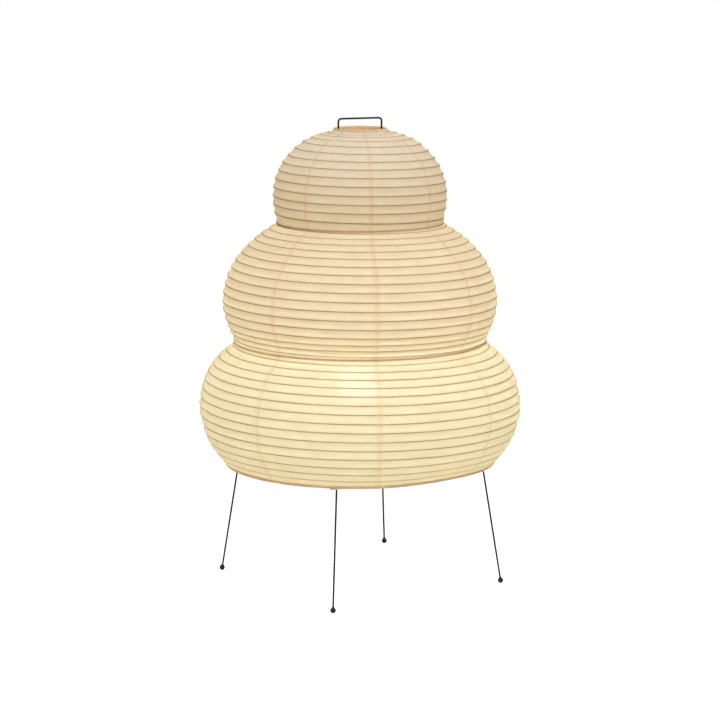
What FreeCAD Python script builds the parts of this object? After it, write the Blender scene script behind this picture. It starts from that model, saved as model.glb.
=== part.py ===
import FreeCAD, Part
import math
import os

# Paper lantern floor lamp: a three-tier concertina paper shade on a bent steel wire
# frame with four legs, a stretcher wire with a handle, a lampholder and an LED bulb.
# Millimetres. Z is up, the floor is Z = 0, the lamp's axis is Z and its front is -Y.

os.makedirs("parts", exist_ok=True)
Vec = FreeCAD.Vector
ORIGIN = Vec(0, 0, 0)
UP = Vec(0, 0, 1)

# ---- paper shade -------------------------------------------------------------------
paper_thickness = 0.5
panel_count = 8
first_seam_angle = -83.0  # degrees from +X, beside the front

# Heights go up from the bottom rim, each as a rise above the place before it.
# Each tier bulges past the neck beside it, and its shoulder is set in from its widest place.
bottom_rim_radius = 217.9  # centre of the rim wire
bottom_rim_height = 199.5
lower_tier_bulge = 56.5  # past the lower neck
lower_tier_rise = 92.5
lower_shoulder_inset = 19.0
lower_shoulder_rise = 63.5
lower_neck_radius = 203.5
lower_neck_rise = 37.5
middle_tier_bulge = 18.0  # past the lower neck
middle_tier_rise = 68.0
middle_shoulder_inset = 19.5
middle_shoulder_rise = 61.0
upper_neck_radius = 134.0
upper_neck_rise = 61.5
upper_tier_bulge = 5.7  # past the upper neck
upper_tier_rise = 42.5
upper_shoulder_inset = 29.7
upper_shoulder_rise = 70.0
crown_run = 17.4  # from the top rim's wire out to where the flat crown turns down
crown_drop = 2.6
top_rim_radius = 40.6  # centre of the rim wire
top_rim_rise = 34.0

rim_wire = 2.4
neck_wire = 2.2
rib_wire = 1.2
rib_pitch = 14.2  # along the paper, from one turn to the next
rib_clearance = 0.15
ring_clearance = 0.3  # between rings that move apart from the paper and the paper

binding_thickness = 0.6
binding_height = 6.5
binding_below_rim = 4.9
binding_shown = 4.55  # its height below the paper's edge
crown_binding_width = 6.5
fit_gap = 0.1

# ---- wire frame --------------------------------------------------------------------
frame_wire = 3.0
leg_count = 4
leg_angle = -10.4  # the first leg, degrees from +X
foot_spread = 13.8  # out from the bottom rim's wire
foot_ball = 9.0
foot_centre_height = 4.3
foot_bore_depth = 5.5
leg_waist_inset = 16.9  # in from the rim's wire to where the splayed leg turns out to its seat
seat_slope = 60.0  # degrees from the horizontal
seat_run = 4.0  # from the rim's place on the seat down to the seat's outer bend
waist_drop = 4.0
waist_bend = 4.0
seat_bend = 2.5
arm_bend = 8.0
arm_rise = 7.5  # above the bottom rim's wire
arm_inner_radius = 8.0

handle_inset = 4.1  # in from the top rim's wire
handle_rise = 19.0  # above the top rim's wire
handle_angle = 20.0
handle_bend = 5.0
shoulder_run = 6.0  # from the top rim's place on the shoulder down to its lower bend
shoulder_bend = 3.0
stretcher_foot_bend = 6.0
clamp_ring_margin = 1.5  # how far the clamp ring stands out past the ring nut
weld_depth = 1.0
clamp_ring_thickness = 2.0

# ---- hub ---------------------------------------------------------------------------
hub_radius = 20.0
hub_height = 11.0
hub_edge = 1.0
set_screw = 4.0
set_screw_radius = 14.0  # its place on the hub
set_screw_length = 3.8
nipple_diameter = 10.0
nipple_bore = 7.0
nipple_below_hub = 9.0
nipple_in_holder = 9.0
lock_nut_width = 14.0
lock_nut_height = 4.0
bushing_diameter = 13.0
bushing_head = 3.0
bushing_wall = 1.0
bushing_depth = 6.0

# ---- lampholder --------------------------------------------------------------------
holder_radius = 19.5
holder_wall = 2.0
holder_base_height = 16.0
holder_body_height = 40.0
holder_floor = 4.0
flange_radius = 24.0
flange_thickness = 3.0
flange_rise = 11.0  # from the foot of the holder's body
ring_nut_radius = 26.3  # over its grip ribs
ring_nut_height = 7.0
ring_nut_ribs = 24
ring_nut_rib = 1.6
thread_shell_bore = 26.8
thread_shell_wall = 0.5
thread_shell_depth = 24.0
contact_block_height = 7.0
contact_thickness = 0.6
contact_width = 6.0
side_contact_offset = 11.5
side_contact_height = 4.0
terminal_screw = 3.5
terminal_screw_length = 5.0
terminal_head = 6.0
terminal_head_height = 2.1
terminal_spread = 10.0

# ---- bulb --------------------------------------------------------------------------
bulb_length = 110.0
globe_radius = 30.0
globe_wall = 0.8
globe_mouth_radius = 24.5
globe_join_angle = 20.0  # below the ball's middle, where the cone begins
collar_lower_radius = 13.8
collar_upper_radius = 24.5
collar_height = 31.0
collar_wall = 1.6
cap_radius = 13.1
cap_wall = 0.4
cap_height = 21.0
cap_insulator_radius = 8.0
cap_insulator_height = 4.0
bulb_tip_radius = 4.8
bulb_tip_height = 1.6
led_board_gap = 0.2  # to the collar round it
led_board_thickness = 1.6
led_chip = 3.0
led_chip_height = 0.8
led_chip_count = 8
led_chip_radius = 13.0


def save(shape, name):
    shape.exportStep("parts/" + name + ".step")
    print(name, "solids", len(shape.Solids), "valid", shape.isValid(), "volume", round(shape.Volume))


def ring_face(inner, outer, low, high):
    """The section of a turned ring, in the XZ plane."""
    corners = [Vec(inner, 0, low), Vec(outer, 0, low), Vec(outer, 0, high), Vec(inner, 0, high)]
    return Part.Face(Part.makePolygon(corners + [corners[0]]))


def turned(face, angle=360.0):
    return face.revolve(ORIGIN, UP, angle)


def tube(inner, outer, low, high):
    return turned(ring_face(inner, outer, low, high))


def disc(radius, low, high):
    return Part.makeCylinder(radius, high - low, Vec(0, 0, low))


def wire_ring(radius, height, diameter):
    return Part.makeTorus(radius, diameter / 2, Vec(0, 0, height))


def spun(shape, angle):
    copy = shape.copy()
    copy.rotate(ORIGIN, UP, angle)
    return copy


def bent_path(corners, bends):
    """Straight runs through the corners, joined by tangent arcs of the given radii."""
    edges = []
    start = corners[0]
    for i in range(1, len(corners) - 1):
        back = (corners[i - 1] - corners[i]).normalize()
        ahead = (corners[i + 1] - corners[i]).normalize()
        half = back.getAngle(ahead) / 2
        reach = bends[i - 1] / math.tan(half)
        middle = (back + ahead).normalize()
        centre = corners[i] + middle * (bends[i - 1] / math.sin(half))
        arc_start = corners[i] + back * reach
        arc_end = corners[i] + ahead * reach
        edges.append(Part.LineSegment(start, arc_start).toShape())
        edges.append(Part.Arc(arc_start, centre - middle * bends[i - 1], arc_end).toShape())
        start = arc_end
    edges.append(Part.LineSegment(start, corners[-1]).toShape())
    return Part.Wire(edges)


def rod(path, diameter):
    start = path.Edges[0]
    along = start.tangentAt(start.FirstParameter)
    at = start.valueAt(start.FirstParameter)
    section = Part.Wire([Part.makeCircle(diameter / 2, at, along)])
    return path.makePipeShell([section], True, False)


def side_arc(widest_radius, widest_height, end_radius, end_height):
    """An arc that stands upright at a tier's widest place and ends at a neck or rim."""
    across = widest_radius - end_radius
    up = end_height - widest_height
    radius = (up * up + across * across) / (2 * across)
    centre = widest_radius - radius
    half = math.atan2(up, radius - across) / 2
    middle = Vec(centre + radius * math.cos(half), 0, widest_height + radius * math.sin(half))
    return Part.Arc(Vec(end_radius, 0, end_height), middle, Vec(widest_radius, 0, widest_height)).toShape()


def tier_top(widest_radius, widest_height, shoulder_radius, shoulder_height, end_radius, end_height):
    """The upper side of a tier: an arc up to the shoulder, then a flatter one that carries on from it."""
    side = side_arc(widest_radius, widest_height, shoulder_radius, shoulder_height)
    shoulder = Vec(shoulder_radius, 0, shoulder_height)
    end = Vec(end_radius, 0, end_height)
    rise = math.atan2(shoulder_height - widest_height, widest_radius - shoulder_radius)
    half = math.atan2(end.z - shoulder.z, shoulder.x - end.x) - (2 * rise - math.pi / 2)
    chord = end - shoulder
    bulge = chord.Length / 2 * math.tan(-half / 2)
    outward = Vec(chord.z, 0, -chord.x).normalize()
    middle = (shoulder + end) * 0.5 + outward * bulge
    return [Part.Arc(end, middle, shoulder).toShape(), side]


# ---- outline of the shade ----------------------------------------------------------
lower_tier_radius = lower_neck_radius + lower_tier_bulge
lower_tier_height = bottom_rim_height + lower_tier_rise
lower_shoulder_radius = lower_tier_radius - lower_shoulder_inset
lower_shoulder_height = lower_tier_height + lower_shoulder_rise
lower_neck_height = lower_shoulder_height + lower_neck_rise
middle_tier_radius = lower_neck_radius + middle_tier_bulge
middle_tier_height = lower_neck_height + middle_tier_rise
middle_shoulder_radius = middle_tier_radius - middle_shoulder_inset
middle_shoulder_height = middle_tier_height + middle_shoulder_rise
upper_neck_height = middle_shoulder_height + upper_neck_rise
upper_tier_radius = upper_neck_radius + upper_tier_bulge
upper_tier_height = upper_neck_height + upper_tier_rise
upper_shoulder_radius = upper_tier_radius - upper_shoulder_inset
upper_shoulder_height = upper_tier_height + upper_shoulder_rise
crown_radius = top_rim_radius + crown_run
top_rim_height = upper_shoulder_height + top_rim_rise

rim_half = rim_wire / 2
paper_top_radius = top_rim_radius + rim_half + fit_gap
paper_top_height = top_rim_height + rim_half
crown_height = paper_top_height - crown_drop
band_inner = bottom_rim_radius + rim_half + fit_gap
band_outer = band_inner + binding_thickness
paper_end_radius = band_outer + ring_clearance + paper_thickness
paper_end_height = bottom_rim_height - binding_below_rim + binding_shown

crown_start = Vec(paper_top_radius, 0, paper_top_height)
crown = Part.LineSegment(crown_start, Vec(crown_radius, 0, crown_height)).toShape()
upper_widest = (upper_tier_radius, upper_tier_height)
upper_shoulder = (upper_shoulder_radius, upper_shoulder_height)
middle_widest = (middle_tier_radius, middle_tier_height)
middle_shoulder = (middle_shoulder_radius, middle_shoulder_height)
lower_widest = (lower_tier_radius, lower_tier_height)
lower_shoulder = (lower_shoulder_radius, lower_shoulder_height)
upper_neck = (upper_neck_radius, upper_neck_height)
lower_neck = (lower_neck_radius, lower_neck_height)

upper_top = tier_top(*upper_widest, *upper_shoulder, crown_radius, crown_height)
middle_top = tier_top(*middle_widest, *middle_shoulder, *upper_neck)
lower_top = tier_top(*lower_widest, *lower_shoulder, *lower_neck)
upper_tier = Part.Wire([crown] + upper_top + [side_arc(*upper_widest, *upper_neck)])
middle_tier = Part.Wire(middle_top + [side_arc(*middle_widest, *lower_neck)])
lower_tier = Part.Wire(lower_top + [side_arc(*lower_widest, paper_end_radius, paper_end_height)])
outline = Part.Wire(upper_tier.Edges + middle_tier.Edges + lower_tier.Edges)


def inward(wire, distance):
    """The wire moved towards the inside of the shade."""
    moved = wire.makeOffset2D(distance, join=0, fill=False, openResult=True)
    if moved.BoundBox.XMax > wire.BoundBox.XMax:
        moved = wire.makeOffset2D(-distance, join=0, fill=False, openResult=True)
    return moved


# ---- paper panels ------------------------------------------------------------------
inner_outline = inward(outline, paper_thickness)


def ends_of(wire):
    """The highest and the lowest end of an open wire."""
    points = sorted((vertex.Point for vertex in wire.OrderedVertexes), key=lambda point: point.z)
    return points[-1], points[0]


outer_top, outer_low = ends_of(outline)
inner_top, inner_low = ends_of(inner_outline)
top_edge = Part.LineSegment(outer_top, inner_top).toShape()
low_edge = Part.LineSegment(outer_low, inner_low).toShape()
paper_edges = Part.__sortEdges__(outline.Edges + inner_outline.Edges + [top_edge, low_edge])
paper_section = Part.Face(Part.Wire(paper_edges))
panel_angle = 360.0 / panel_count
for number in range(panel_count):
    panel = spun(turned(paper_section, panel_angle), first_seam_angle + number * panel_angle)
    save(panel, "paper_panel_" + str(number + 1))


# ---- spiral ribs -------------------------------------------------------------------
def spiral(tier):
    """Half turns of wire, each tilted, that meet in one plane and run down the tier."""
    line = inward(tier, paper_thickness + rib_clearance + rib_wire / 2)
    turns = int(line.Length / (rib_pitch / 2))
    places = line.discretize(Number=turns + 1)
    if places[0].z < places[-1].z:
        places.reverse()
    places = places[1:-1]
    side = 1
    skins = []
    ends = []
    for i in range(len(places) - 1):
        start = Vec(side * places[i].x, 0, places[i].z)
        stop = Vec(-side * places[i + 1].x, 0, places[i + 1].z)
        axis = (start - stop).cross(Vec(0, 1, 0))
        if axis.z < 0:
            axis = axis * -1
        disc_face = Part.Face(Part.Wire([Part.makeCircle(rib_wire / 2, start, Vec(0, 1, 0))]))
        half_turn = disc_face.revolve((start + stop) / 2, axis, 180)
        for face in half_turn.Faces:
            if face.Surface.TypeId == "Part::GeomPlane":
                ends.append(face)
            else:
                skins.append(face)
        side = -side
    caps = [min(ends, key=lambda face: (face.CenterOfMass - Vec(places[0].x, 0, places[0].z)).Length)]
    last = Vec(side * places[-1].x, 0, places[-1].z)
    caps.append(min(ends, key=lambda face: (face.CenterOfMass - last).Length))
    shell = Part.makeShell(skins + caps)
    shell.sewShape()
    solid = Part.makeSolid(shell)
    if solid.Volume < 0:
        solid.reverse()
    return solid


save(spiral(upper_tier), "spiral_rib_upper")
save(spiral(middle_tier), "spiral_rib_middle")
save(spiral(lower_tier), "spiral_rib_lower")

# ---- rings and bindings ------------------------------------------------------------
neck_inset = paper_thickness + ring_clearance + neck_wire / 2
save(wire_ring(upper_neck_radius - neck_inset, upper_neck_height, neck_wire), "neck_ring_upper")
save(wire_ring(lower_neck_radius - neck_inset, lower_neck_height, neck_wire), "neck_ring_lower")
save(wire_ring(top_rim_radius, top_rim_height, rim_wire), "top_rim_ring")
save(wire_ring(bottom_rim_radius, bottom_rim_height, rim_wire), "bottom_rim_ring")

binding_low = paper_top_height + fit_gap
crown_binding = ring_face(
    top_rim_radius - rim_half,
    top_rim_radius - rim_half + crown_binding_width,
    binding_low,
    binding_low + binding_thickness,
)
save(turned(crown_binding), "top_rim_binding")
band_low = bottom_rim_height - binding_below_rim
save(tube(band_inner, band_outer, band_low, band_low + binding_height), "bottom_rim_binding")

# ---- legs and feet -----------------------------------------------------------------
foot_radius = bottom_rim_radius + foot_spread
arm_height = bottom_rim_height + arm_rise
slope = math.radians(seat_slope)
seat_down = Vec(math.cos(slope), 0, -math.sin(slope))
seat_out = Vec(math.sin(slope), 0, math.cos(slope))
seat_distance = rim_half + frame_wire / 2 + ring_clearance
rim_seat = Vec(bottom_rim_radius, 0, bottom_rim_height) - seat_out * seat_distance
seat_low = rim_seat + seat_down * seat_run
arm_corner = rim_seat - seat_down * ((arm_height - rim_seat.z) / math.sin(slope))
waist = Vec(bottom_rim_radius - leg_waist_inset, 0, seat_low.z - waist_drop)
foot_centre = Vec(foot_radius, 0, foot_centre_height)
leg_run = (waist - foot_centre).normalize()
leg_end = foot_centre + leg_run * (foot_ball / 2 - foot_bore_depth + frame_wire / 2)
arm_end = Vec(arm_inner_radius, 0, arm_height)
leg_path = bent_path([leg_end, waist, seat_low, arm_corner, arm_end], [waist_bend, seat_bend, arm_bend])
leg = rod(leg_path, frame_wire)

bore_face = Part.Face(Part.Wire([Part.makeCircle(frame_wire / 2 + fit_gap / 2, leg_end, leg_run)]))
bore = bore_face.extrude(leg_run * (2 * foot_ball))
ball = Part.makeSphere(foot_ball / 2, foot_centre)
below_corner = Vec(foot_radius - foot_ball, -foot_ball, -foot_ball)
below_floor = Part.makeBox(foot_ball * 2, foot_ball * 2, foot_ball, below_corner)
foot = ball.cut(below_floor).cut(bore)

for number in range(leg_count):
    angle = leg_angle + number * 360.0 / leg_count
    save(spun(leg, angle), "leg_" + str(number + 1))
    save(spun(foot, angle), "foot_" + str(number + 1))

# ---- hub ---------------------------------------------------------------------------
hub_low = arm_height - hub_height / 2
hub_top = arm_height + hub_height / 2
arm_bore = Part.makeCylinder(frame_wire / 2 + fit_gap / 2, hub_radius, arm_end, Vec(1, 0, 0))
screw_low = arm_height + frame_wire / 2
screw_hole = Part.makeCylinder(set_screw / 2 + fit_gap / 2, hub_height, Vec(set_screw_radius, 0, arm_height))
hub = tube(nipple_diameter / 2 + fit_gap / 2, hub_radius, hub_low, hub_top)
hub = hub.makeChamfer(hub_edge, [edge for edge in hub.Edges if edge.Length > 6 * hub_radius])
screws = []
for number in range(leg_count):
    angle = leg_angle + number * 360.0 / leg_count
    hub = hub.cut(spun(arm_bore, angle)).cut(spun(screw_hole, angle))
    screw = Part.makeCylinder(set_screw / 2, set_screw_length, Vec(set_screw_radius, 0, screw_low))
    socket_low = screw_low + set_screw_length / 2
    socket = Part.makeCylinder(set_screw / 4, set_screw_length / 2, Vec(set_screw_radius, 0, socket_low))
    screws.append(spun(screw.cut(socket), angle))
save(hub, "hub")
save(Part.makeCompound(screws), "set_screws")

nipple_low = hub_low - nipple_below_hub
nipple_top = hub_top + nipple_in_holder
save(tube(nipple_bore / 2, nipple_diameter / 2, nipple_low, nipple_top), "threaded_nipple")

lock_nut_low = hub_low - lock_nut_height
corner_radius = lock_nut_width / math.sqrt(3)
nut_corners = []
for number in range(7):
    turn = math.radians(60 * number)
    nut_corners.append(Vec(corner_radius * math.cos(turn), corner_radius * math.sin(turn), lock_nut_low))
nut = Part.Face(Part.makePolygon(nut_corners)).extrude(UP * lock_nut_height)
save(nut.cut(disc(nipple_diameter / 2 + fit_gap / 2, lock_nut_low, hub_low)), "lock_nut")

bushing = tube(nipple_bore / 2 - bushing_wall, bushing_diameter / 2, nipple_low - bushing_head, nipple_low)
sleeve_radius = nipple_bore / 2 - fit_gap / 2
sleeve = tube(nipple_bore / 2 - bushing_wall, sleeve_radius, nipple_low, nipple_low + bushing_depth)
save(bushing.fuse(sleeve).removeSplitter(), "cord_bushing")

# ---- lampholder --------------------------------------------------------------------
base_low = hub_top
body_low = base_low + holder_base_height
body_top = body_low + holder_body_height
holder_inner = holder_radius - holder_wall
base = disc(holder_radius, base_low, body_low)
base = base.cut(disc(holder_inner, base_low + nipple_in_holder, body_low))
base = base.cut(disc(nipple_diameter / 2 + fit_gap / 2, base_low, base_low + nipple_in_holder))
save(base, "holder_base")

flange_low = body_low + flange_rise
flange_top = flange_low + flange_thickness
body_floor_top = body_low + holder_floor
body = tube(holder_inner, holder_radius, body_low, body_top)
body = body.fuse(tube(holder_inner, flange_radius, flange_low, flange_top))
floor_plate = disc(holder_inner, body_low, body_floor_top)
terminal_hole = disc(terminal_screw / 2 + fit_gap / 2, body_low, body_floor_top)
for side in (-1, 1):
    hole = terminal_hole.copy()
    hole.translate(Vec(side * terminal_spread, 0, 0))
    floor_plate = floor_plate.cut(hole)
body = body.fuse(floor_plate).removeSplitter()
save(body, "holder_body")

screws = []
for side in (-1, 1):
    place = Vec(side * terminal_spread, 0, body_floor_top - terminal_screw_length)
    shank = Part.makeCylinder(terminal_screw / 2, terminal_screw_length, place)
    head = Part.makeCylinder(terminal_head / 2, terminal_head_height, place - Vec(0, 0, terminal_head_height))
    screws.append(shank.fuse(head).removeSplitter())
save(Part.makeCompound(screws), "terminal_screws")

block_top = body_floor_top + contact_block_height
shell_inner = thread_shell_bore / 2
shell_outer = shell_inner + thread_shell_wall
block = disc(holder_inner - fit_gap, body_floor_top, block_top)
save(block, "contact_block")
centre_corner = Vec(-bulb_tip_radius, -contact_width / 2, block_top)
save(Part.makeBox(2 * bulb_tip_radius, contact_width, contact_thickness, centre_corner), "centre_contact")
side_corner = Vec(side_contact_offset, -contact_width / 2, block_top)
save(Part.makeBox(contact_thickness, contact_width, side_contact_height, side_corner), "side_contact")
save(tube(shell_inner, shell_outer, block_top, block_top + thread_shell_depth), "thread_shell")

nut_low = flange_top + clamp_ring_thickness
nut_top = nut_low + ring_nut_height
nut_wall_radius = ring_nut_radius - ring_nut_rib / 2
ring_nut = tube(holder_radius + fit_gap, nut_wall_radius, nut_low, nut_top)
for number in range(ring_nut_ribs):
    turn = 360.0 * number / ring_nut_ribs
    rib = Part.makeCylinder(ring_nut_rib / 2, ring_nut_height, Vec(nut_wall_radius, 0, nut_low))
    ring_nut = ring_nut.fuse(spun(rib, turn))
save(ring_nut.removeSplitter(), "holder_ring_nut")

# ---- stretcher with its handle -----------------------------------------------------
handle_half_width = top_rim_radius - handle_inset
handle_height = top_rim_height + handle_rise
clamp_outer = ring_nut_radius + clamp_ring_margin
clamp_height = flange_top + clamp_ring_thickness / 2
shoulder_seat = Vec(top_rim_radius, 0, top_rim_height) - seat_out * seat_distance
shoulder_low = shoulder_seat + seat_down * shoulder_run
shoulder_high = shoulder_seat - seat_down * ((shoulder_seat.x - handle_half_width) / math.cos(slope))
shoulder_in = Vec(handle_half_width, 0, shoulder_low.z - (shoulder_low.x - handle_half_width))
right_side = [
    Vec(clamp_outer - weld_depth, 0, clamp_height),
    Vec(handle_half_width, 0, clamp_height),
    shoulder_in,
    shoulder_low,
    shoulder_high,
    Vec(handle_half_width, 0, handle_height),
]
left_side = [Vec(-point.x, 0, point.z) for point in reversed(right_side)]
foot_bend = min(stretcher_foot_bend, handle_half_width - clamp_outer)  # no wider than its level run
side_bends = [foot_bend, shoulder_bend, shoulder_bend, shoulder_bend, handle_bend]
stretcher_path = bent_path(right_side + left_side, side_bends + side_bends[::-1])
stretcher = rod(stretcher_path, frame_wire)
clamp = tube(holder_radius + 2 * fit_gap, clamp_outer, flange_top, flange_top + clamp_ring_thickness)
stretcher = stretcher.fuse(clamp).removeSplitter()
save(spun(stretcher, handle_angle), "stretcher")

# ---- bulb --------------------------------------------------------------------------
tip_low = block_top + contact_thickness
insulator_low = tip_low + bulb_tip_height
cap_low = insulator_low + cap_insulator_height
cap_top = cap_low + cap_height
collar_top = cap_top + collar_height
save(disc(bulb_tip_radius, tip_low, insulator_low), "bulb_tip")
insulator_foot = Vec(0, 0, insulator_low)
save(Part.makeCone(cap_insulator_radius, cap_radius, cap_insulator_height, insulator_foot), "bulb_insulator")
save(tube(cap_radius - cap_wall, cap_radius, cap_low, cap_top), "bulb_screw_cap")

collar_points = [
    Vec(collar_lower_radius - collar_wall, 0, cap_top),
    Vec(collar_lower_radius, 0, cap_top),
    Vec(collar_upper_radius, 0, collar_top),
    Vec(collar_upper_radius - collar_wall, 0, collar_top),
]
collar_face = Part.Face(Part.makePolygon(collar_points + [collar_points[0]]))
save(turned(collar_face), "bulb_collar")

bulb_top = tip_low + bulb_length
globe_centre = bulb_top - globe_radius
globe_join = math.radians(globe_join_angle)


def globe_solid(radius, mouth_radius):
    """A ball that runs on down to the mouth in the collar as a cone."""
    sphere = Part.makeSphere(radius, Vec(0, 0, globe_centre))
    join_radius = radius * math.cos(globe_join)
    join_height = globe_centre - radius * math.sin(globe_join)
    neck = Part.makeCone(mouth_radius, join_radius, join_height - collar_top, Vec(0, 0, collar_top))
    return sphere.fuse(neck)


globe = globe_solid(globe_radius, globe_mouth_radius).cut(
    globe_solid(globe_radius - globe_wall, globe_mouth_radius - globe_wall)
)
globe = globe.cut(disc(globe_radius, collar_top - globe_radius, collar_top))
save(globe.removeSplitter(), "bulb_globe")

board_low = collar_top - led_board_thickness
collar_flare = (collar_upper_radius - collar_lower_radius) / collar_height
board_radius = collar_upper_radius - collar_wall - collar_flare * led_board_thickness - led_board_gap
save(disc(board_radius, board_low, collar_top), "led_board")
chips = []
for number in range(led_chip_count):
    chip_corner = Vec(led_chip_radius - led_chip / 2, -led_chip / 2, collar_top)
    chip = Part.makeBox(led_chip, led_chip, led_chip_height, chip_corner)
    chips.append(spun(chip, 360.0 * number / led_chip_count))
save(Part.makeCompound(chips), "led_chips")
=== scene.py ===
import math

import bmesh
import bpy
import numpy as np
from mathutils import Matrix, Vector, noise


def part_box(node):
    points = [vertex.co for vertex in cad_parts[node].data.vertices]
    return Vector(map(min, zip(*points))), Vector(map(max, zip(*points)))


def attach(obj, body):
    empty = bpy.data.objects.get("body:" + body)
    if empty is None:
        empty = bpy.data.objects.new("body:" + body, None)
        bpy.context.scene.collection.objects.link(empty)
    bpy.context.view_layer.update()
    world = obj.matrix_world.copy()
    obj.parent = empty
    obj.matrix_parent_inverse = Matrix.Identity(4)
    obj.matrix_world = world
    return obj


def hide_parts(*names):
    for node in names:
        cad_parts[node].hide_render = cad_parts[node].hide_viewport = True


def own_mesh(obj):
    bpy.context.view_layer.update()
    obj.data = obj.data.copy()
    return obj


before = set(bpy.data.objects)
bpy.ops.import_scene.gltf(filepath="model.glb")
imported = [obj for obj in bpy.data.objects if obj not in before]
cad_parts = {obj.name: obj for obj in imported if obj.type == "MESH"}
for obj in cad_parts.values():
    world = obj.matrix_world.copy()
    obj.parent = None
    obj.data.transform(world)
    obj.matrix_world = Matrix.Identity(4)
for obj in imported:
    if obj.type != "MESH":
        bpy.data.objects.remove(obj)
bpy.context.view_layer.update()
fullTurn = 2 * math.pi
print("frame loaded:", len(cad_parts), "nodes")


# ---- camera, light and floor ----
studio = {
    "cameraPlace": (0.0, -4.1213, 1.0656),
    "cameraTarget": (0.0, 0.0, 0.3592),
    "lens": 129.5,
    "lampTarget": (0.0, 0.0, 0.4),
    "keyPlace": (0.2, -2.9, 3.2), "keySize": 1.4, "keyPower": 60.0, "keyColor": (0.985, 0.985, 1.0),
    "fillPlace": (2.6, -1.4, 1.2), "fillSize": 2.0, "fillPower": 3.0, "fillColor": (1.0, 0.985, 0.96),
    "skyColor": (0.93, 0.965, 1.0), "skyLevel": 0.48,
    "floorColor": (0.82, 0.815, 0.805), "floorLift": 0.75, "floorSize": 9.0,
}


def aimed(thing, target):
    direction = Vector(target) - thing.location
    thing.rotation_euler = direction.to_track_quat("-Z", "Y").to_euler()


def softLamp(name, place, size, power, color):
    lamp = bpy.data.lights.new(name, "AREA")
    lamp.shape = "DISK"
    lamp.size = size
    lamp.energy = power
    lamp.color = color
    thing = bpy.data.objects.new(name, lamp)
    bpy.context.scene.collection.objects.link(thing)
    thing.location = place
    aimed(thing, studio["lampTarget"])


def anySight(tree):
    # 1 for rays from the camera, from gloss and through glass, 0 for the light that falls on things
    path = tree.nodes.new("ShaderNodeLightPath")
    either = tree.nodes.new("ShaderNodeMath")
    either.operation = "MAXIMUM"
    both = tree.nodes.new("ShaderNodeMath")
    both.operation = "MAXIMUM"
    tree.links.new(path.outputs["Is Camera Ray"], either.inputs[0])
    tree.links.new(path.outputs["Is Glossy Ray"], either.inputs[1])
    tree.links.new(either.outputs[0], both.inputs[0])
    tree.links.new(path.outputs["Is Transmission Ray"], both.inputs[1])
    return both.outputs[0]


def setUpStudio():
    scene = bpy.context.scene
    scene.view_settings.view_transform = "Standard"
    camera = bpy.data.cameras.new("camera")
    camera.sensor_width = 36
    camera.lens = studio["lens"]
    thing = bpy.data.objects.new("camera", camera)
    scene.collection.objects.link(thing)
    thing.location = studio["cameraPlace"]
    aimed(thing, studio["cameraTarget"])
    scene.camera = thing
    softLamp("keyLight", studio["keyPlace"], studio["keySize"], studio["keyPower"], studio["keyColor"])
    softLamp("fillLight", studio["fillPlace"], studio["fillSize"], studio["fillPower"], studio["fillColor"])

    world = bpy.data.worlds.new("studioWorld")
    scene.world = world
    world.use_nodes = True
    tree = world.node_tree
    tree.nodes.clear()
    shown = tree.nodes.new("ShaderNodeBackground")
    shown.inputs["Color"].default_value = (1, 1, 1, 1)
    lighting = tree.nodes.new("ShaderNodeBackground")
    lighting.inputs["Color"].default_value = (*studio["skyColor"], 1)
    lighting.inputs["Strength"].default_value = studio["skyLevel"]
    mix = tree.nodes.new("ShaderNodeMixShader")
    out = tree.nodes.new("ShaderNodeOutputWorld")
    tree.links.new(anySight(tree), mix.inputs[0])
    tree.links.new(lighting.outputs[0], mix.inputs[1])
    tree.links.new(shown.outputs[0], mix.inputs[2])
    tree.links.new(mix.outputs[0], out.inputs["Surface"])


def makeFloor():
    bm = bmesh.new()
    bmesh.ops.create_grid(bm, x_segments=2, y_segments=2, size=studio["floorSize"])
    mesh = bpy.data.meshes.new("floor")
    bm.to_mesh(mesh)
    bm.free()
    floor = bpy.data.objects.new("floor", mesh)
    bpy.context.scene.collection.objects.link(floor)
    material = bpy.data.materials.new("paleFloor")
    material.use_nodes = True
    tree = material.node_tree
    shader = tree.nodes["Principled BSDF"]
    shader.inputs["Base Color"].default_value = (*studio["floorColor"], 1)
    shader.inputs["Roughness"].default_value = 0.9
    shader.inputs["Specular IOR Level"].default_value = 0.0
    shader.inputs["Emission Color"].default_value = (1, 1, 1, 1)
    lift = tree.nodes.new("ShaderNodeMath")
    lift.operation = "MULTIPLY"
    lift.inputs[1].default_value = studio["floorLift"]
    tree.links.new(anySight(tree), lift.inputs[0])
    tree.links.new(lift.outputs[0], shader.inputs["Emission Strength"])
    mesh.materials.append(material)


setUpStudio()
makeFloor()
print("studio ready")


# ---- small helpers for pieces and materials ----
def finishPiece(name, bm, material, body, replaced):
    mesh = bpy.data.meshes.new(name)
    bm.to_mesh(mesh)
    bm.free()
    for face in mesh.polygons:
        face.use_smooth = True
    mesh.materials.append(material)
    piece = bpy.data.objects.new(name, mesh)
    bpy.context.scene.collection.objects.link(piece)
    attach(piece, body)
    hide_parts(*replaced)
    return piece


def solidify(piece, thickness, offset=-1.0):
    wall = piece.modifiers.new("wall", "SOLIDIFY")
    wall.thickness = thickness
    wall.offset = offset


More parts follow.
